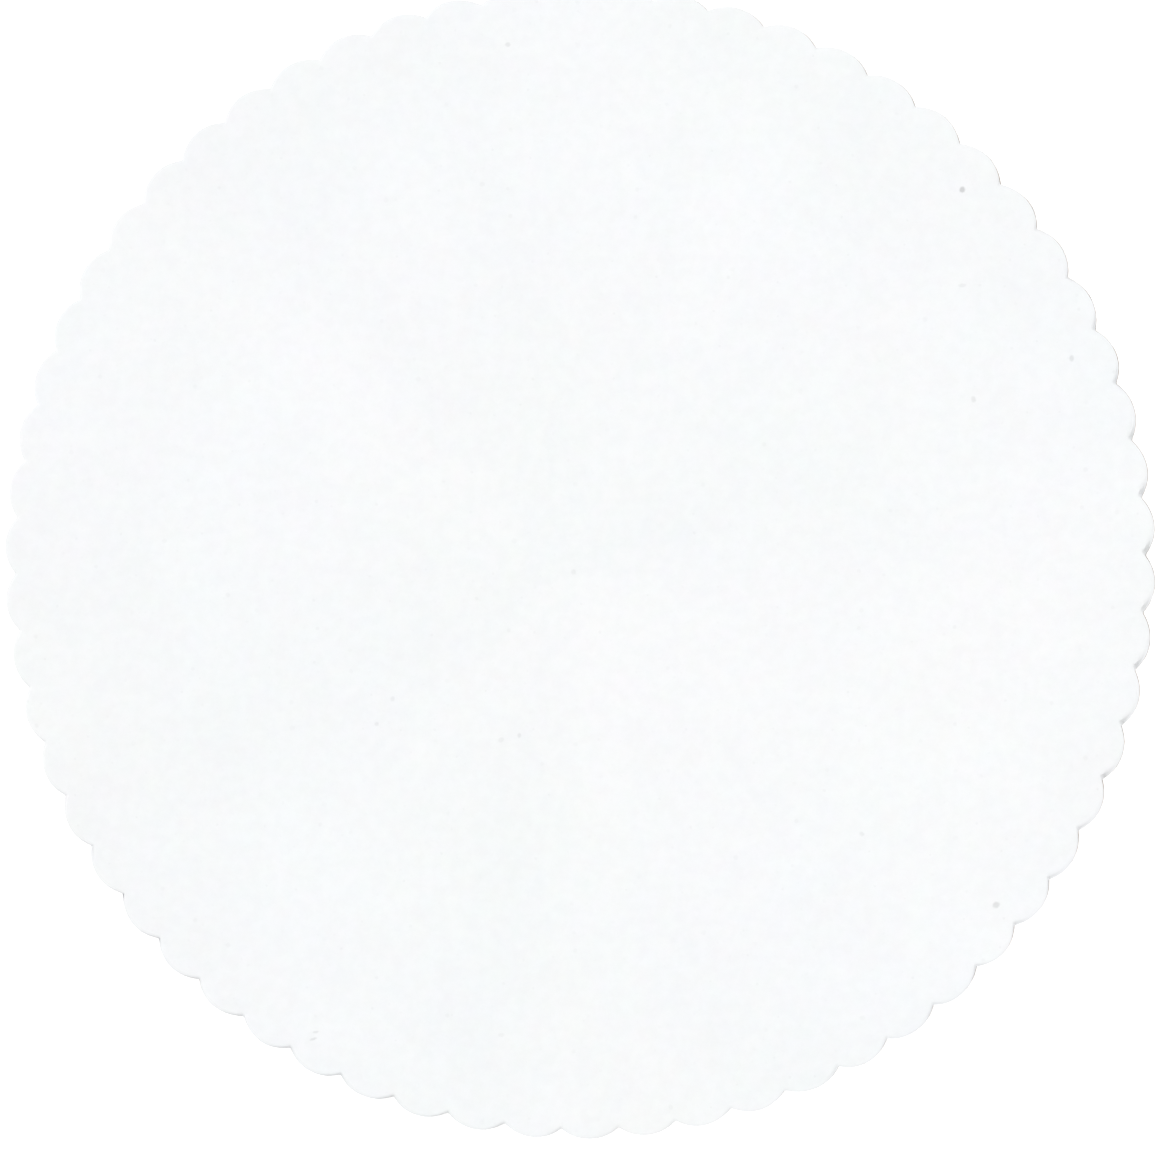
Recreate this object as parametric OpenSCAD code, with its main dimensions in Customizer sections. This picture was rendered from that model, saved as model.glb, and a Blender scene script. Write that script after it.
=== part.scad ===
// Scalloped round cake board: a greaseproof sheet on single-wall corrugated board.
// The origin is the centre of the underside, +Z is up and the flutes run along Y.

/* [Board] */
// Diameter over the crests of the scallops
outer_d = 254; // [152:1:406]
// Number of scallops round the edge
scallop_count = 62; // [24:2:100]
// Height of a scallop's crest above the line between its two notches
scallop_depth = 2.5; // [0.8:0.1:3]
// Angle of the first notch, anticlockwise from +X
first_notch = 1.2; // [0:0.1:5.8]
// Thickness of the whole board
board_t = 3.2; // [2.4:0.1:4.5]

/* [Layers] */
// Thickness of the white greaseproof sheet on top
sheet_t = 0.1; // [0.05:0.01:0.3]
// Thickness of each flat liner
liner_t = 0.3; // [0.15:0.01:0.5]
// Thickness of the paper that the flutes are made of
medium_t = 0.22; // [0.15:0.01:0.35]

/* [Flutes] */
// Distance from one flute to the next
flute_pitch = 6.4; // [6:0.1:8]
// Bend radius at the middle of the flute paper
flute_r = 1.2; // [0.8:0.1:1.3]
// Glue between a flute's tip and its liner
glue_t = 0.04; // [0.02:0.01:0.08]

/* [Hidden] */

$fn = 96;

// Levels of the layers
core_bottom = liner_t;
core_top = board_t - sheet_t - liner_t;
core_mid = (core_bottom + core_top) / 2;

// Scallops: equal arcs that meet in a notch
notch_r = (outer_d / 2 - scallop_depth) / cos(180 / scallop_count);
half_chord = notch_r * sin(180 / scallop_count);
scallop_r = (half_chord ^ 2 + scallop_depth ^ 2) / (2 * scallop_depth);
scallop_centre_r = outer_d / 2 - scallop_r;
// The disc inside the scallops stops short of the notches, well within the arcs
inner_disc_r = notch_r - scallop_depth;

// Flutes: tangent arcs joined by straight flanks. The flank's slope follows from the
// wave's height, its half pitch and the bend radius.
wave_h = core_top - core_bottom - 2 * glue_t - medium_t;
half_pitch = flute_pitch / 2;
wave_lean = atan2(wave_h - 2 * flute_r, half_pitch);
flank_slope = wave_lean + asin(2 * flute_r / norm([half_pitch, wave_h - 2 * flute_r]));
bend_steps = 6;
half_waves = ceil(outer_d / 2 / half_pitch);
// A glue bead spans this many steps of the bend on each side of the flute's tip
glue_steps = 2;
// How much wider a bead is on the liner than on the flute
glue_foot = 0.1;

// 1 where bend k is a crest, -1 where it is a trough
function side(k) = k % 2 == 0 ? 1 : -1;

// Points of bend k from step first to step last, offset from the middle of the paper
function bend(k, offset, first, last) = [
    for (i = [first:last])
        let (a = flank_slope * (2 * i / bend_steps - 1), r = flute_r + side(k) * offset)
        [k * half_pitch + r * sin(a), side(k) * (wave_h / 2 - flute_r + r * cos(a))]
];

function reversed(points) = [for (i = [len(points) - 1:-1:0]) points[i]];

function wave_edge(offset) = [
    for (k = [-half_waves:half_waves])
        each bend(k, offset, 0, bend_steps)
];

// Outline of the whole board, seen from above
module scalloped_outline() {
    circle(r = inner_disc_r);
    for (i = [0:scallop_count - 1])
        rotate(first_notch + (i + 0.5) * 360 / scallop_count)
            translate([scallop_centre_r, 0])
                circle(r = scallop_r);
}

// Everything that is die-cut to the outline
module cut_to_outline() {
    intersection() {
        linear_extrude(height = board_t)
            scalloped_outline();
        children();
    }
}

module flat_layer(bottom, thickness) {
    translate([0, 0, bottom])
        linear_extrude(height = thickness)
            scalloped_outline();
}

// A profile in X and Z, run along Y through the middle of the board
module along_flutes() {
    translate([0, 0, core_mid])
        rotate([90, 0, 0])
            linear_extrude(height = outer_d + 2, center = true)
                children();
}

// The glue beads on one side: crests for the top liner, troughs for the bottom one
module glue_lines(which) {
    tip = glue_steps;
    middle = bend_steps / 2;
    reach = (core_top - core_bottom) / 2;
    cut_to_outline()
        along_flutes()
            for (k = [-half_waves + 1:half_waves - 1])
                if (side(k) == which) {
                    arc = bend(k, which * medium_t / 2, middle - tip, middle + tip);
                    x0 = arc[0][0] - glue_foot / 2;
                    x1 = arc[len(arc) - 1][0] + glue_foot / 2;
                    polygon(concat(arc, [[x1, which * reach], [x0, which * reach]]));
                }
}

module greaseproof_sheet() {
    color("white")
        flat_layer(board_t - sheet_t, sheet_t);
}

module top_liner() {
    color("burlywood")
        flat_layer(core_top, liner_t);
}

module top_glue_lines() {
    color("ivory")
        glue_lines(1);
}

module corrugated_medium() {
    color("tan")
        cut_to_outline()
            along_flutes()
                polygon(concat(wave_edge(medium_t / 2), reversed(wave_edge(-medium_t / 2))));
}

module bottom_glue_lines() {
    color("ivory")
        glue_lines(-1);
}

module bottom_liner() {
    color("burlywood")
        flat_layer(0, liner_t);
}

greaseproof_sheet();
top_liner();
top_glue_lines();
corrugated_medium();
bottom_glue_lines();
bottom_liner();
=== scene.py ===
"""A scalloped cake board, seen from almost straight above on a white table.

Every paper of the board is cut to one scalloped plan. A plan is a flat mesh of triangles whose lines
follow the cut edge and the flutes. A layer is its plan lifted to the layer's two faces and closed
along the cut. Lengths in the plans are in millimetres, and Blender gets them in metres.
"""

import math

import bpy
from mathutils import Matrix, Vector, geometry, noise


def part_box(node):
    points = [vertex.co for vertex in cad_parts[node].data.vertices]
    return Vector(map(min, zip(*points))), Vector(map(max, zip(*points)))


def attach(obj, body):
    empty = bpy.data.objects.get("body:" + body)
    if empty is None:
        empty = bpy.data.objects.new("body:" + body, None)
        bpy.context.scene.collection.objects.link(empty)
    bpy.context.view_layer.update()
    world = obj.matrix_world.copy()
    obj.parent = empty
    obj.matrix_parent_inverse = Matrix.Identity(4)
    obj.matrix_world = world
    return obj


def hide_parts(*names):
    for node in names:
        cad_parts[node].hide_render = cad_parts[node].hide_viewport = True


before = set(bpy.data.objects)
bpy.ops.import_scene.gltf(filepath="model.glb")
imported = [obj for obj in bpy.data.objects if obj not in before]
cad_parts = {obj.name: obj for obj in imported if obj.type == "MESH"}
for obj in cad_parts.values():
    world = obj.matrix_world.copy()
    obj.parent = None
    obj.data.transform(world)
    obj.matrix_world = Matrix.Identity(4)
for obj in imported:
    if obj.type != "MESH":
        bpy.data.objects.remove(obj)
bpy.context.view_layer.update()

MM = 0.001

# Outline, as in the part: equal arcs that meet in notches
OUTER_D = 254.0
SCALLOPS = 62
SCALLOP_DEPTH = 2.5
FIRST_NOTCH = math.radians(1.2)
SECTOR = 2 * math.pi / SCALLOPS
NOTCH_R = (OUTER_D / 2 - SCALLOP_DEPTH) / math.cos(SECTOR / 2)
HALF_CHORD = NOTCH_R * math.sin(SECTOR / 2)
SCALLOP_R = (HALF_CHORD**2 + SCALLOP_DEPTH**2) / (2 * SCALLOP_DEPTH)
SCALLOP_CENTRE_R = OUTER_D / 2 - SCALLOP_R
# Half the angle that a scallop's arc spans, seen from the arc's own centre
SCALLOP_SPAN = math.asin(HALF_CHORD / SCALLOP_R)
# A notch's bottom is rounded by the fold of the steel rule that cuts it
NOTCH_ROUND = 0.22
NOTCH_SLOPE = math.tan(SCALLOP_SPAN - SECTOR / 2)

# Levels of the layers, from the frame
SHEET_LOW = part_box("greaseproof_sheet")[0].z / MM
BOARD_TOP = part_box("greaseproof_sheet")[1].z / MM
TOP_LINER_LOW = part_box("top_liner")[0].z / MM
BOTTOM_LINER_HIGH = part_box("bottom_liner")[1].z / MM
WAVE_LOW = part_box("corrugated_medium")[0].z / MM
WAVE_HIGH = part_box("corrugated_medium")[1].z / MM

# Flutes, as in the part: tangent arcs joined by straight flanks
FLUTE_PITCH = 6.4
FLUTE_R = 1.2
MEDIUM_T = 0.22
HALF_PITCH = FLUTE_PITCH / 2
WAVE_H = WAVE_HIGH - WAVE_LOW - MEDIUM_T
WAVE_MID = (WAVE_LOW + WAVE_HIGH) / 2
FLANK_SLOPE = math.atan2(WAVE_H - 2 * FLUTE_R, HALF_PITCH) + math.asin(
    2 * FLUTE_R / math.hypot(HALF_PITCH, WAVE_H - 2 * FLUTE_R)
)
GLUE_HALF_WIDTH = 0.66
# How much further a bead reaches along its liner than along its flute
GLUE_FOOT = 0.16
# The beads end this far inside the cut edge, and are drawn in over this distance
GLUE_SET_BACK = 0.3
SET_BACK_REACH = 2.0
# How uneven the beads are, and how many lumps they have per millimetre across and along
GLUE_UNEVEN = 0.3
GLUE_LUMPS = (0.9, 0.13)
# Sideways lean of the flutes, as a slope, and how far across and along it stays alike
FLUTE_LEAN = 0.09
LEAN_PATCH = (60, 90)

# Crushing along the edge, as a share of the height: most of it is a narrow lip, the rest a slope
EDGE_CRUSH = 0.05
LIP_SHARE = 0.75
LIP_REACH = 0.4
SLOPE_REACH = 2.4
CRUSH_UNEVEN = 0.35
# The papers are pinched at the notches, mostly on one side of each: how much, where and how far
NOTCH_PINCH = 0.035
PINCH_MIDDLE = -0.8
PINCH_ALONG = 2.0
PINCH_IN = 0.34
PINCH_UNEVEN = 0.6
# Stretches where the press bore harder: middle, half width in degrees, extra crush, extra pinch
DEEP_STRETCHES = ((-8, 35, 0.03, 0.36), (233, 25, 0.09, 0.48))
# A stretch where the scallops have crept round a little: middle, half width, creep in degrees
CREEP = (-10, 32, -0.42)
# How far the cut strays inwards and along, how deep into the board that shows, and its fraying
CUT_WANDER_IN = 0.22
CUT_WANDER_ALONG = 0.5
WANDER_REACH = 11.0
WANDER_FORGOTTEN = 1e-4
CUT_FRAY = 0.05
# How far the liners sink between the glued flute tips
TOP_WASHBOARD = 0.004
BOTTOM_WASHBOARD = 0.014

# How finely the plans are cut: steps in a scallop, lines inside the edge, rows across the flutes
RIM_STEPS = 24
NOTCH_CROWDING = 0.6
INSETS = (0.14, 0.28, 0.44, 0.65, 1.0, 1.6, 2.4, 3.4, 5.0)
ROW_STEP = 12.0
COLUMNS_PER_FLUTE = 8
# Where the lines along a flute lie, as shares of the half width of its bend, and of a bead's
BEND_STEPS = (0, 0.33, 0.66, 1, 1.15)
BEAD_STEPS = (-1, -0.5, 0, 0.5, 1)
REACH = OUTER_D / 2 + 4
WELD = 1e-4


# ---------------------------------------------------------------- outline

def sector_angle(angle):
    """Angle from the middle of the scallop that lies in this direction."""
    return (angle - FIRST_NOTCH) % SECTOR - SECTOR / 2


def outline_radius(angle, inset=0.0):
    """Distance from the centre to the edge, or to the line that runs inset inside it."""
    a = abs(sector_angle(angle))
    arc_r = SCALLOP_R - inset
    across = SCALLOP_CENTRE_R * math.sin(a)
    beside = NOTCH_R * math.sin(SECTOR / 2 - a)
    if inset > beside and across > arc_r * math.sin(SCALLOP_SPAN - a):
        return NOTCH_R * math.cos(SECTOR / 2 - a) - math.sqrt(inset**2 - beside**2)
    return SCALLOP_CENTRE_R * math.cos(a) + math.sqrt(arc_r**2 - across**2)


def rim_radius(angle):
    """The edge itself, with its notches rounded."""
    beside = NOTCH_R * (SECTOR / 2 - abs(sector_angle(angle)))
    return outline_radius(angle) + NOTCH_SLOPE * (math.hypot(beside, NOTCH_ROUND) - beside)


def edge_distance(x, y):
    """How far inside the cut edge a point lies."""
    radius = math.hypot(x, y)
    a = abs(sector_angle(math.atan2(y, x)))
    along, across = radius * math.cos(a) - SCALLOP_CENTRE_R, radius * math.sin(a)
    if math.atan2(across, along) <= SCALLOP_SPAN:
        return max(0.0, SCALLOP_R - math.hypot(along, across))
    return math.hypot(
        radius * math.cos(a) - NOTCH_R * math.cos(SECTOR / 2), across - HALF_CHORD
    )


def past_notch(angle):
    """How far along the edge the nearest notch lies: negative before it, going anticlockwise."""
    a = sector_angle(angle)
    return NOTCH_R * math.copysign(SECTOR / 2 - abs(a), -a)


def hill(value, reach):
    """1 at 0, and falling away smoothly over about this reach."""
    return math.exp(-((value / reach) ** 2))


def degrees_from(angle, middle):
    return (math.degrees(angle) - middle + 180) % 360 - 180


def around(angle, waves, seed):
    """Smooth noise from -1 to 1 round the board, with about this many waves in one turn."""
    r = waves / math.pi
    return noise.noise(Vector((r * math.cos(angle), r * math.sin(angle), seed)))


# ---------------------------------------------------------------- plans

def ring(radius_at):
    """A closed line of points, closer together near the notches."""
    points = []
    for i in range(SCALLOPS * RIM_STEPS):
        turn = 2 * math.pi * i / RIM_STEPS
        angle = FIRST_NOTCH + SECTOR * (turn - NOTCH_CROWDING * math.sin(turn)) / (2 * math.pi)
        points.append((radius_at(angle) * math.cos(angle), radius_at(angle) * math.sin(angle)))
    return points


def cut_plan(columns, keep=lambda x: True):
    """Points and triangles of the outline, cut along lines at the x of each column.

    keep says which x the plan covers.
    """
    loops = [ring(rim_radius)] + [ring(lambda a, d=d: outline_radius(a, d)) for d in INSETS]
    points, edges = [], []
    for loop in loops:
        first = len(points)
        points += loop
        edges += [(first + i, first + (i + 1) % len(loop)) for i in range(len(loop))]
    rows = [ROW_STEP * i for i in range(-int(REACH / ROW_STEP), int(REACH / ROW_STEP) + 1)]
    lines = [((x, -REACH), (x, REACH)) for x in columns] + [((-REACH, y), (REACH, y)) for y in rows]
    for a, b in lines:
        edges.append((len(points), len(points) + 1))
        points += [a, b]
    made = geometry.delaunay_2d_cdt([Vector(p) for p in points], edges, [], 1, WELD)
    places = [(v.x, v.y) for v in made[0]]
    triangles = []
    for face in made[2]:
        x = sum(places[i][0] for i in face) / 3
        y = sum(places[i][1] for i in face) / 3
        if math.hypot(x, y) < rim_radius(math.atan2(y, x)) and keep(x):
            triangles.append(tuple(face))
    used = sorted({i for t in triangles for i in t})
    new = {old: i for i, old in enumerate(used)}
    return [places[i] for i in used], [tuple(new[i] for i in t) for t in triangles]


def open_edges(triangles):
    """Directed edges that only one triangle has: the rim, and any side that keep left."""
    sides = {(t[i], t[(i + 1) % 3]) for t in triangles for i in range(3)}
    return [s for s in sides if (s[1], s[0]) not in sides]


def flat_columns():
    """Lines along the flutes for the flat papers, close enough for the washboard."""
    step = FLUTE_PITCH / COLUMNS_PER_FLUTE
    return [step * i for i in range(-int(REACH / step), int(REACH / step) + 1)]


def wave_columns():
    """Lines along the flutes, close together where the paper bends."""
    bend = FLUTE_R * math.sin(FLANK_SLOPE)
    near = [step * bend for step in BEND_STEPS]
    offsets = near + [HALF_PITCH - u for u in reversed(near[1:])]
    turns = int(OUTER_D / 2 / HALF_PITCH) + 1
    return [k * HALF_PITCH + u for k in range(-turns, turns) for u in offsets]


def bead_columns(which):
    """Lines of the glue beads: on the crests for which 0, in the troughs for which 1."""
    turns = int(OUTER_D / 2 / FLUTE_PITCH) + 1
    middles = [k * FLUTE_PITCH + which * HALF_PITCH for k in range(-turns, turns + 1)]
    return [m + GLUE_HALF_WIDTH * step for m in middles for step in BEAD_STEPS]


def bead_offset(x, which):
    """Signed distance from the middle of the nearest bead."""
    return (x - which * HALF_PITCH + HALF_PITCH) % FLUTE_PITCH - HALF_PITCH


# ---------------------------------------------------------------- heights

def wave_top(x):
    """Upper face of the flute paper at x, above the wave's middle."""
    bend = round(x / HALF_PITCH)
    u = abs(x - bend * HALF_PITCH)
    side = 1 if bend % 2 == 0 else -1
    radius = FLUTE_R + side * MEDIUM_T / 2
    centre = WAVE_H / 2 - FLUTE_R
    reach = radius * math.sin(FLANK_SLOPE)
    if u <= reach:
        return side * (centre + math.sqrt(radius**2 - u**2))
    flank = radius * math.cos(FLANK_SLOPE) - (u - reach) * math.tan(FLANK_SLOPE)
    return side * (centre + flank)


def medium_high(x, y):
    return WAVE_MID + wave_top(x)


def medium_low(x, y):
    return WAVE_MID - wave_top(x + HALF_PITCH)


def washboard(x, depth):
    """The liners sink a little between the glued flute tips."""
    return depth * (math.cos(2 * math.pi * x / FLUTE_PITCH) - 1) / 2


def sheet_high(x, y):
    return BOARD_TOP + washboard(x, TOP_WASHBOARD)


def sheet_low(x, y):
    return SHEET_LOW + washboard(x, TOP_WASHBOARD)


def top_liner_low(x, y):
    return TOP_LINER_LOW + washboard(x, TOP_WASHBOARD)


def bottom_liner_high(x, y):
    return BOTTOM_LINER_HIGH - washboard(x + HALF_PITCH, BOTTOM_WASHBOARD)


def bottom_liner_low(x, y):
    return -washboard(x + HALF_PITCH, BOTTOM_WASHBOARD)


def crushed(x, y, z):
    """The die squeezes the board along its edge: a rounded lip and a slight slope behind it."""
    d = edge_distance(x, y)
    angle = math.atan2(y, x)
    crush, pinch = EDGE_CRUSH, NOTCH_PINCH
    for middle, half_width, more_crush, more_pinch in DEEP_STRETCHES:
        near = hill(degrees_from(angle, middle), half_width)
        crush += near * more_crush
        pinch += near * more_pinch
    crush *= 1 + CRUSH_UNEVEN * around(angle, 9, 3.1) + CRUSH_UNEVEN * around(angle, 50, 7.7)
    pinch *= 1 + PINCH_UNEVEN * around(angle, 130, 2.6)
    lip = crush * (LIP_SHARE * hill(d, LIP_REACH) + (1 - LIP_SHARE) * hill(d, SLOPE_REACH))
    dent = pinch * hill(past_notch(angle) - PINCH_MIDDLE, PINCH_ALONG) * hill(d, PINCH_IN)
    return z * (1 - lip - dent)


def wandered(x, y):
    """The rule isn't bent perfectly: scallops differ by one or two tenths of a millimetre."""
    radius = math.hypot(x, y)
    near = hill(max(0.0, OUTER_D / 2 - radius), WANDER_REACH)
    if near < WANDER_FORGOTTEN:
        return x, y
    angle = math.atan2(y, x)
    middle, half_width, creep = CREEP
    shift = CUT_WANDER_ALONG * around(angle, 47, 5.3) / radius
    shift += math.radians(creep) * hill(degrees_from(angle, middle), half_width)
    radius -= near * CUT_WANDER_IN * (0.5 + 0.5 * around(angle, 31, 1.9))
    return radius * math.cos(angle + near * shift), radius * math.sin(angle + near * shift)


# ---------------------------------------------------------------- pieces

def leaning(x, y, z):
    """Where a point of the core ends up: the flutes lean a little, now one way and now the other."""
    lean = FLUTE_LEAN * noise.noise(Vector((x / LEAN_PATCH[0], y / LEAN_PATCH[1], 4.4)))
    return x + lean * (z - WAVE_MID), y, z


def layer(name, plan, low, high, materials, seed, nodes, bend=None):
    """A paper: the plan lifted to its two faces, closed along the cut, then bent point by point."""
    places, triangles = plan
    rim = open_edges(triangles)
    on_rim = {i for edge in rim for i in edge if edge_distance(*places[i]) < NOTCH_ROUND}
    spots = []
    for i, (x, y) in enumerate(places):
        x, y = wandered(x, y)
        if i in on_rim:
            angle = math.atan2(y, x)
            pull = CUT_FRAY * (0.5 + 0.5 * around(angle, 420, seed)) / math.hypot(x, y)
            x, y = x * (1 - pull), y * (1 - pull)
        spots.append((x, y))
    count = len(spots)
    corners = [(x, y, face(x, y)) for face in (low, high) for x, y in spots]
    if bend:
        corners = [bend(*corner) for corner in corners]
    corners = [(x, y, crushed(x, y, z)) for x, y, z in corners]
    faces = [(c, b, a) for a, b, c in triangles]
    faces += [(a + count, b + count, c + count) for a, b, c in triangles]
    faces += [(a, b, b + count, a + count) for a, b in rim]
    mesh = bpy.data.meshes.new(name)
    mesh.from_pydata([(x * MM, y * MM, z * MM) for x, y, z in corners], [], faces)
    for material in materials:
        mesh.materials.append(material)
    for face in mesh.polygons[2 * len(triangles):]:
        face.material_index = len(materials) - 1
    mesh.shade_smooth()
    mesh.set_sharp_from_angle(angle=math.radians(40))
    piece = bpy.data.objects.new(name, mesh)
    bpy.context.scene.collection.objects.link(piece)
    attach(piece, "root")
    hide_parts(*nodes)
    return piece


def glue_beads(name, which, low, high, material, seed, node):
    """Beads of starch along the flute tips of one side, uneven in width and wider on the liner."""
    places, triangles = cut_plan(
        bead_columns(which), keep=lambda x: abs(bead_offset(x, which)) < GLUE_HALF_WIDTH
    )
    uneven = []
    for x, y in places:
        spread = GLUE_UNEVEN * noise.noise(Vector((x * GLUE_LUMPS[0], y * GLUE_LUMPS[1], seed)))
        set_back = GLUE_SET_BACK * hill(edge_distance(x, y), SET_BACK_REACH)
        scale = 1 - set_back / math.hypot(x, y)
        x += bead_offset(x, which) * min(0.0, spread)
        uneven.append((x * scale, y * scale))

    def settled(x, y, z):
        offset = bead_offset(x, which)
        on_liner = abs(z - WAVE_MID) > WAVE_H / 2 + MEDIUM_T / 2
        if on_liner and abs(offset) > GLUE_HALF_WIDTH / 2:
            x += math.copysign(GLUE_FOOT, offset)
        return leaning(x, y, z)

    return layer(name, (uneven, triangles), low, high, [material], seed, [node], settled)


# ---------------------------------------------------------------- materials

def add(tree, kind, inputs=None, **settings):
    """A shader node, with its inputs given as values or as sockets to link."""
    made = tree.nodes.new("ShaderNode" + kind)
    for key, value in settings.items():
        setattr(made, key, value)
    for key, value in (inputs or {}).items():
        if isinstance(value, bpy.types.NodeSocket):
            tree.links.new(value, made.inputs[key])
        else:
            made.inputs[key].default_value = value
    return made


def math_node(tree, operation, a, b=0.0, clamp=False):
    """A sum with two values or sockets."""
    return add(tree, "Math", {0: a, 1: b}, operation=operation, use_clamp=clamp).outputs[0]


def remap(tree, value, low, high, to_low, to_high, smooth=True):
    """Maps low..high to to_low..to_high, and holds the ends."""
    kind = "SMOOTHSTEP" if smooth else "LINEAR"
    inputs = {"Value": value, "From Min": low, "From Max": high, "To Min": to_low, "To Max": to_high}
    return add(tree, "MapRange", inputs, interpolation_type=kind).outputs["Result"]


def blend_colours(tree, factor, a, b):
    """Colour a where the factor is 0, and b where it is 1."""
    made = add(tree, "Mix", data_type="RGBA", blend_type="MIX")
    for socket, value in ((made.inputs[0], factor), (made.inputs[6], a), (made.inputs[7], b)):
        if isinstance(value, bpy.types.NodeSocket):
            tree.links.new(value, socket)
        else:
            socket.default_value = value
    return made.outputs[2]


def in_millimetres(tree):
    """The piece's own coordinates, scaled so that 1 is a millimetre."""
    place = add(tree, "TexCoord").outputs["Object"]
    scaled = add(tree, "VectorMath", {0: place, "Scale": 1 / MM}, operation="SCALE")
    return scaled.outputs["Vector"]


def noise_at(tree, place, size, detail=3.0, rough=0.55):
    """Noise from 0 to 1 whose blobs are about this many millimetres across."""
    inputs = {"Vector": place, "Scale": 1 / size, "Detail": detail, "Roughness": rough}
    return add(tree, "TexNoise", inputs)


def from_noise(tree, value, to_low, to_high):
    """Stretches noise, which lies mostly between 0.3 and 0.7, over this range."""
    return remap(tree, value, 0.3, 0.7, to_low, to_high)


def surface(name):
    """A new material, its node tree and its shader."""
    material = bpy.data.materials.new(name)
    material.use_nodes = True
    tree = material.node_tree
    return material, tree, tree.nodes["Principled BSDF"]


def bump(tree, shader, height, depth_mm):
    """Fine relief in the shader, this many millimetres deep."""
    inputs = {"Height": height, "Distance": depth_mm * MM}
    tree.links.new(add(tree, "Bump", inputs).outputs["Normal"], shader.inputs["Normal"])


def specks(tree, place, cell, smallest, largest, faintest, darkest, share=1.0):
    """A speck in this share of the cells of a net: how dark the speck is here, 0 for none."""
    cells = add(tree, "TexVoronoi", {"Vector": place, "Scale": 1 / cell}, voronoi_dimensions="2D")
    chance = add(tree, "SeparateColor", {"Color": cells.outputs["Color"]})
    rare = math_node(tree, "POWER", chance.outputs[0], 3.0)
    radius = remap(tree, rare, 0, 1, smallest / cell, largest / cell, smooth=False)
    outside = math_node(tree, "DIVIDE", cells.outputs["Distance"], radius)
    darkness = remap(tree, chance.outputs[1], 0, 1, faintest, darkest, smooth=False)
    there = math_node(tree, "LESS_THAN", chance.outputs[2], share)
    mask = math_node(tree, "MULTIPLY", remap(tree, outside, 0.6, 1.3, 1, 0), there)
    return math_node(tree, "MULTIPLY", mask, darkness)


# Flecks in the white face that can be told apart: x, y, length, width, direction, darkness
FLECKS = (
    (92, -75, 1.7, 1.4, 20, 0.20),
    (84.5, 82, 1.4, 1.3, 70, 0.30),
    (-58.5, -105, 1.8, 0.6, 20, 0.15),
    (-58, -103.5, 1.4, 0.6, 10, 0.13),
    (108.5, 45, 1.1, 1.5, 0, 0.16),
    (87, 36, 1.1, 1.4, 20, 0.13),
    (-15.5, 114, 1.2, 1.1, 0, 0.13),
    (84.5, 61, 1.8, 0.9, 5, 0.09),
    (-17, -39, 1.4, 1.1, 30, 0.08),
    (-13, -38, 1.1, 1.0, 90, 0.12),
    (62.5, -59.5, 1.2, 1.0, 140, 0.10),
    (-1, -2, 1.2, 1.2, 0, 0.08),
    (-41, -30, 1.2, 1.1, 60, 0.09),
    (-44.5, -35.5, 1.0, 0.9, 15, 0.11),
    (-17, -104, 1.5, 1.0, 0, 0.06),
)


def flecks(tree, place):
    """How dark the flecks make this place: soft-edged ovals."""
    total = 0.0
    for x, y, length, width, direction, darkness in FLECKS:
        inputs = {"Vector": place, "Location": (x, y, 0), "Rotation": (0, 0, math.radians(direction)),
                  "Scale": (length / 2, width / 2, 1000)}
        local = add(tree, "Mapping", inputs, vector_type="TEXTURE")
        outside = add(tree, "VectorMath", {0: local.outputs[0]}, operation="LENGTH")
        mask = remap(tree, outside.outputs["Value"], 0.5, 1.3, darkness, 0)
        total = math_node(tree, "ADD", mask, total)
    return total


# The white's own colour, a little blue
WHITE = (0.761, 0.773, 0.781)
# Clouds in the white: size in millimetres, and how much lighter or darker they are
WHITE_CLOUDS = ((70, 0.006), (24, 0.006), (2.6, 0.011), (0.9, 0.005))
# Patches of another tint: size in millimetres, and how far each colour strays
WHITE_TINTS = ((60, 0.03), (5, 0.03))
# How far the outlines of flecks and specks stray, in millimetres
FRAYING = 0.35


def centred_noise(tree, place, size, depth):
    """Noise in three channels, each from -depth / 2 to depth / 2."""
    colour = noise_at(tree, place, size).outputs["Color"]
    centred = add(tree, "VectorMath", {0: colour, 1: (0.5, 0.5, 0.5)}, operation="SUBTRACT")
    return add(tree, "VectorMath", {0: centred.outputs[0], "Scale": depth}, operation="SCALE").outputs[0]


def white_paper():
    """Coated white paper with recycled fibre in it: faint clouds, grey specks, a soft sheen."""
    material, tree, shader = surface("greaseproof_white")
    place = in_millimetres(tree)
    shift = centred_noise(tree, place, 0.5, FRAYING)
    frayed = add(tree, "VectorMath", {0: place, 1: shift}).outputs[0]
    large = specks(tree, frayed, cell=7.0, smallest=0.25, largest=0.6, faintest=0.01,
                   darkest=0.05, share=0.45)
    small = specks(tree, frayed, cell=2.6, smallest=0.15, largest=0.4, faintest=0.004,
                   darkest=0.02, share=0.6)
    dark = math_node(tree, "ADD", flecks(tree, frayed), math_node(tree, "ADD", large, small), clamp=True)
    level = 1.0
    for size, depth in WHITE_CLOUDS:
        mottle = noise_at(tree, place, size).outputs["Fac"]
        level = math_node(tree, "ADD", from_noise(tree, mottle, -depth, depth), level)
    level = math_node(tree, "MULTIPLY", level, math_node(tree, "SUBTRACT", 1.0, dark))
    tint = add(tree, "VectorMath", {0: WHITE, "Scale": level}, operation="SCALE")
    for size, depth in WHITE_TINTS:
        hue = centred_noise(tree, place, size, depth)
        tint = add(tree, "VectorMath", {0: tint.outputs[0], 1: hue})
    tree.links.new(tint.outputs[0], shader.inputs["Base Color"])
    fine = noise_at(tree, place, 0.14, 4, 0.6).outputs["Fac"]
    tree.links.new(from_noise(tree, fine, 0.46, 0.6), shader.inputs["Roughness"])
    shader.inputs["Specular IOR Level"].default_value = 0.45
    peel = noise_at(tree, place, 1.6, 2).outputs["Fac"]
    height = math_node(tree, "ADD", math_node(tree, "MULTIPLY", fine, 0.4), peel)
    bump(tree, shader, height, 0.008)
    return material


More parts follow.
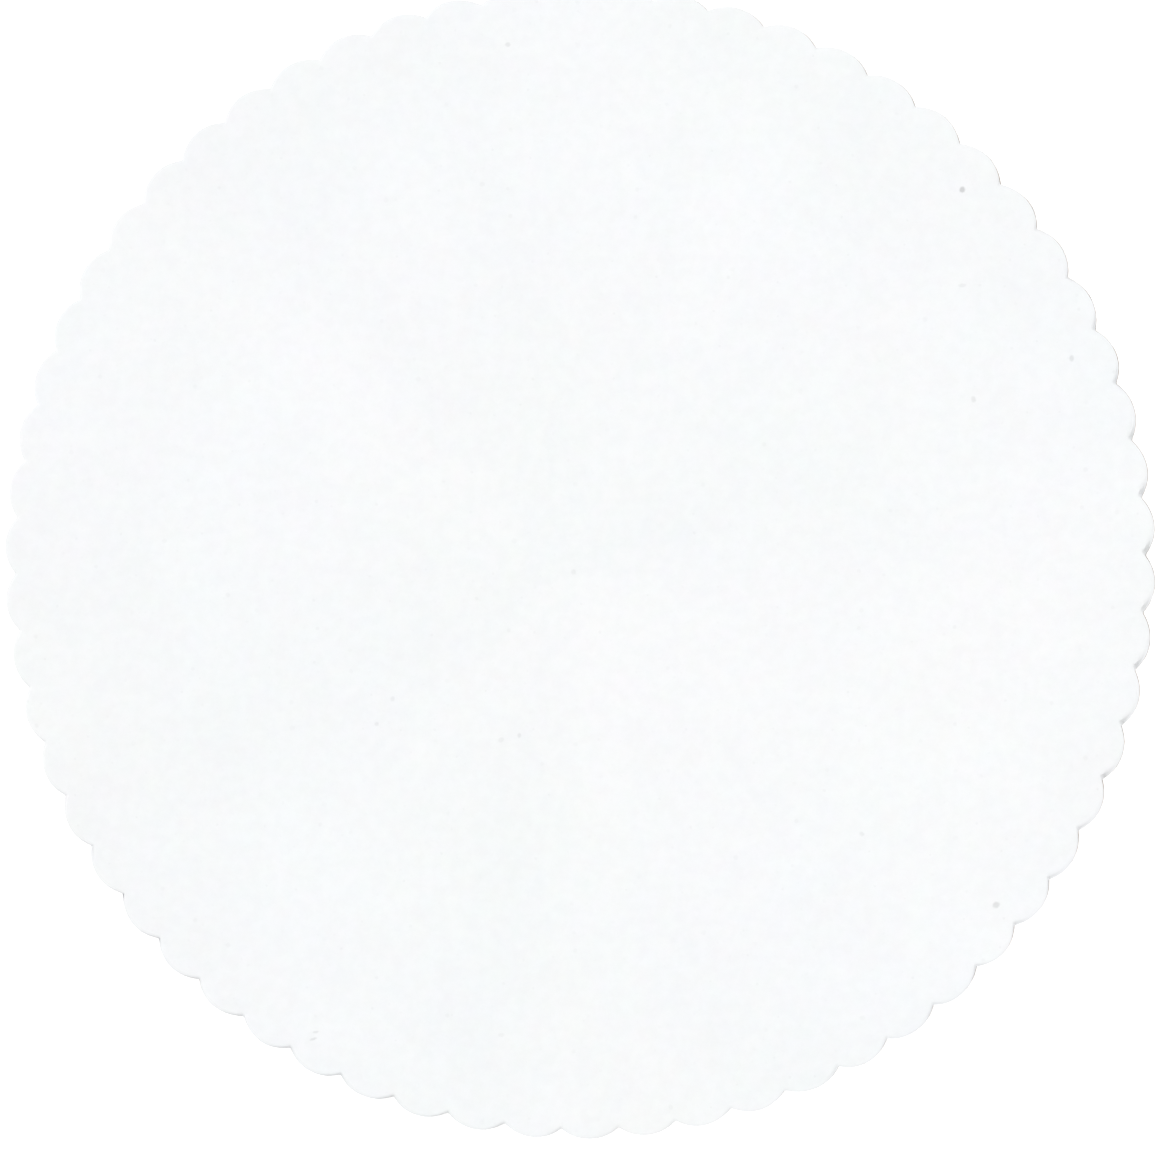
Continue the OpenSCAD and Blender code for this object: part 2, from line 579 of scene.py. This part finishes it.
def fibres(tree, place, direction, length, width, seed):
    """Fibres that lie one way: 1 on a fibre, 0 off it."""
    inputs = {"Vector": place, "Location": (seed, 3 * seed, 0),
              "Rotation": (0, 0, math.radians(direction)), "Scale": (1 / length, 1 / width, 1)}
    laid = add(tree, "Mapping", inputs).outputs[0]
    value = add(tree, "TexNoise", {"Vector": laid, "Scale": 1.0, "Detail": 1.0,
                                   "Distortion": 0.4}).outputs["Fac"]
    return remap(tree, value, 0.56, 0.68, 0, 1)


# Fibres in brown paper: where they point, their size, and how they differ from its two colours
FIBRE_DIRECTIONS = (4, -38, 57, 88, 29)
FIBRE_LENGTH = 2.6
FIBRE_WIDTH = 0.13
FIBRE_PALER = 1.35
FIBRE_DARKER = 0.62
FLAW_DARKER = 0.3


def kraft(name, pale, dark, rough, cloud, fibre=0.2):
    """Brown paper: cloudy, with pale and dark fibres in every direction and a few flecks.

    cloud is the size of its clouds in millimetres, and fibre is how much its fibres show.
    """
    material, tree, shader = surface(name)
    place = in_millimetres(tree)
    clouds = noise_at(tree, place, cloud, 5, 0.6).outputs["Fac"]
    colour = blend_colours(tree, from_noise(tree, clouds, 0, 1), (*pale, 1), (*dark, 1))
    lint = 0.0
    for i, direction in enumerate(FIBRE_DIRECTIONS):
        strand = fibres(tree, place, direction, FIBRE_LENGTH, FIBRE_WIDTH, 11.0 * i)
        if i % 2 == 0:
            shade = (*[c * FIBRE_PALER for c in pale], 1)
        else:
            shade = (*[c * FIBRE_DARKER for c in dark], 1)
        part = math_node(tree, "MULTIPLY", strand, fibre)
        colour = blend_colours(tree, part, colour, shade)
        lint = math_node(tree, "ADD", lint, strand)
    flaws = specks(tree, place, cell=5.0, smallest=0.08, largest=0.35, faintest=0.1, darkest=0.6)
    colour = blend_colours(tree, flaws, colour, (*[c * FLAW_DARKER for c in dark], 1))
    tree.links.new(colour, shader.inputs["Base Color"])
    fine = noise_at(tree, place, 0.12, 4, 0.65).outputs["Fac"]
    tree.links.new(from_noise(tree, fine, rough - 0.07, rough + 0.07), shader.inputs["Roughness"])
    shader.inputs["Specular IOR Level"].default_value = 0.3
    height = math_node(tree, "ADD", fine, math_node(tree, "MULTIPLY", lint, 0.3))
    bump(tree, shader, height, 0.02)
    return material


def cut_edge(name, pale, dark):
    """Where the rule went through paper: soft torn fibre in layers, paler than the face."""
    material, tree, shader = surface(name)
    place = in_millimetres(tree)
    plies = add(tree, "Mapping", {"Vector": place, "Scale": (1.6, 1.6, 22)}).outputs[0]
    layers = add(tree, "TexNoise", {"Vector": plies, "Scale": 1.0, "Detail": 4.0}).outputs["Fac"]
    colour = blend_colours(tree, remap(tree, layers, 0.32, 0.68, 0, 1), (*pale, 1), (*dark, 1))
    tree.links.new(colour, shader.inputs["Base Color"])
    shader.inputs["Specular IOR Level"].default_value = 0.15
    torn = noise_at(tree, place, 0.16, 4, 0.7).outputs["Fac"]
    tree.links.new(from_noise(tree, torn, 0.88, 1.0), shader.inputs["Roughness"])
    bump(tree, shader, math_node(tree, "ADD", torn, layers), 0.06)
    return material


def starch():
    """Dried starch glue: cream, a little clear, uneven."""
    material, tree, shader = surface("starch_glue")
    place = in_millimetres(tree)
    lumps = noise_at(tree, place, 0.5, 3).outputs["Fac"]
    colour = blend_colours(tree, from_noise(tree, lumps, 0, 1), (0.66, 0.56, 0.40, 1),
                           (0.50, 0.39, 0.24, 1))
    tree.links.new(colour, shader.inputs["Base Color"])
    tree.links.new(from_noise(tree, lumps, 0.32, 0.5), shader.inputs["Roughness"])
    shader.inputs["Transmission Weight"].default_value = 0.2
    bump(tree, shader, lumps, 0.05)
    return material


# ---------------------------------------------------------------- the board

def make_board():
    """The papers and the glue, each in the place of its node."""
    white = white_paper()
    white_cut = cut_edge("white_cut_edge", (0.80, 0.80, 0.79), (0.66, 0.66, 0.65))
    brown = kraft("kraft_liner", (0.425, 0.289, 0.168), (0.36, 0.236, 0.132), rough=0.72, cloud=2.4)
    brown_cut = cut_edge("kraft_cut_edge", (0.42, 0.36, 0.285), (0.28, 0.23, 0.17))
    fluting = kraft("fluting_paper", (0.38, 0.28, 0.18), (0.29, 0.205, 0.125), rough=0.85,
                    cloud=2.5, fibre=0.12)
    fluting_cut = cut_edge("fluting_cut_edge", (0.41, 0.345, 0.27), (0.26, 0.21, 0.16))
    glue = starch()
    flat = cut_plan(flat_columns())
    wave = cut_plan(wave_columns())
    layer("white_sheet", flat, sheet_low, sheet_high, [white, white_cut], 21.3,
          ["greaseproof_sheet"])
    layer("liner_top", flat, top_liner_low, sheet_low, [brown, brown_cut], 33.7,
          ["top_liner"])
    layer("flutes", wave, medium_low, medium_high, [fluting, fluting_cut], 45.1,
          ["corrugated_medium"], leaning)
    layer("liner_bottom", flat, bottom_liner_low, bottom_liner_high, [brown, brown_cut], 57.9,
          ["bottom_liner"])
    glue_beads("glue_beads_top", 0, medium_high, top_liner_low, glue, 61.3, "top_glue_lines")
    glue_beads("glue_beads_bottom", 1, bottom_liner_high, medium_low, glue, 73.9, "bottom_glue_lines")


# ---------------------------------------------------------------- the set

# Width of what the camera sees at the board's top face, and where it aims
VIEW_WIDTH = 255.2
AIM = (0.4, -3.1)
# The camera stands a little to the right of straight above
CAMERA_DISTANCE = 2800.0
CAMERA_LEAN = math.radians(4.2)
CAMERA_AZIMUTH = math.radians(12)
SENSOR = 36.0


def make_camera():
    """The camera, turned so that +Y is up in the picture."""
    data = bpy.data.cameras.new("camera")
    data.sensor_width = SENSOR
    data.lens = SENSOR * CAMERA_DISTANCE / VIEW_WIDTH
    lean, azimuth = math.sin(CAMERA_LEAN), CAMERA_AZIMUTH
    back = Vector((lean * math.cos(azimuth), lean * math.sin(azimuth), math.cos(CAMERA_LEAN)))
    right = Vector((0, 1, 0)).cross(back).normalized()
    turn = Matrix((right, back.cross(right), back)).transposed()
    aim = Vector((*AIM, BOARD_TOP))
    camera = bpy.data.objects.new("camera", data)
    camera.matrix_world = Matrix.Translation((aim + back * CAMERA_DISTANCE) * MM) @ turn.to_4x4()
    bpy.context.scene.collection.objects.link(camera)
    bpy.context.scene.camera = camera


def towards(azimuth, elevation):
    """Direction to a light. Azimuth is anticlockwise from +X."""
    a, e = math.radians(azimuth), math.radians(elevation)
    return Vector((math.cos(a) * math.cos(e), math.sin(a) * math.cos(e), math.sin(e)))


def place_light(name, data, direction, distance=0.0):
    """A light this many metres from the board, shining at it."""
    light = bpy.data.objects.new(name, data)
    light.location = direction * distance
    light.rotation_euler = direction.to_track_quat("Z", "Y").to_euler()
    bpy.context.scene.collection.objects.link(light)


def sun(name, azimuth, elevation, softness, share):
    """A far soft light. share is what it adds to a level face, as a part of full white."""
    data = bpy.data.lights.new(name, "SUN")
    data.angle = math.radians(softness)
    data.energy = share * math.pi / math.sin(math.radians(elevation))
    place_light(name, data, towards(azimuth, elevation))


def soft_box(name, azimuth, elevation, distance, size, power):
    """A square light near the board: metres and watts."""
    data = bpy.data.lights.new(name, "AREA")
    data.size = size
    data.energy = power
    place_light(name, data, towards(azimuth, elevation), distance)


# Metres from the middle over which the table changes, and what it changes from and to
TABLE_HALF = 3.0
TABLE_GREY = (0.25, 1.3, 0.8, 0.68)
# The painted glow: light that only the camera sees, strongest round the board, where it washes out the
# board's shadows on the table
TABLE_PAINTED_GLOW = (0.22, 1.0, 0.8, 0.0)


def make_table():
    """A plain table that looks white round the board, and pale grey further out. Round the board it has
    a painted glow, light that only the camera sees, which washes out the board's shadows there.
    """
    half = TABLE_HALF
    mesh = bpy.data.meshes.new("table")
    corners = [(-half, -half), (half, -half), (half, half), (-half, half)]
    mesh.from_pydata([(x, y, -0.02 * MM) for x, y in corners], [], [(0, 1, 2, 3)])
    material, tree, shader = surface("table_white_painted_glow")
    place = add(tree, "TexCoord").outputs["Object"]
    away = add(tree, "VectorMath", {0: place}, operation="LENGTH").outputs["Value"]
    tree.links.new(remap(tree, away, *TABLE_GREY), shader.inputs["Base Color"])
    # Painted light: the table glows for camera rays only, most near the board, so that the shadows there
    # don't show
    seen = add(tree, "LightPath").outputs["Is Camera Ray"]
    painted_glow = remap(tree, away, *TABLE_PAINTED_GLOW)
    tree.links.new(math_node(tree, "MULTIPLY", seen, painted_glow), shader.inputs["Emission Strength"])
    shader.inputs["Emission Color"].default_value = (1, 1, 1, 1)
    shader.inputs["Roughness"].default_value = 0.8
    shader.inputs["Specular IOR Level"].default_value = 0.1
    mesh.materials.append(material)
    table = bpy.data.objects.new("table", mesh)
    bpy.context.scene.collection.objects.link(table)


def make_light():
    """A white room that is a little darker near the horizon, two soft lights and a weak side light."""
    world = bpy.data.worlds.new("studio")
    world.use_nodes = True
    tree = world.node_tree
    height = add(tree, "SeparateXYZ", {0: add(tree, "TexCoord").outputs["Generated"]}).outputs["Z"]
    tree.links.new(remap(tree, height, 0.0, 0.5, 0.7, 1.0), tree.nodes["Background"].inputs["Color"])
    tree.nodes["Background"].inputs["Strength"].default_value = 0.948
    bpy.context.scene.world = world
    sun("key", azimuth=172, elevation=45, softness=20, share=0.22)
    sun("fill", azimuth=60, elevation=40, softness=20, share=0.06)
    soft_box("side", azimuth=15, elevation=30, distance=0.9, size=0.3, power=0.42)
    bpy.context.scene.view_settings.view_transform = "Standard"


make_camera()
make_board()
make_table()
make_light()
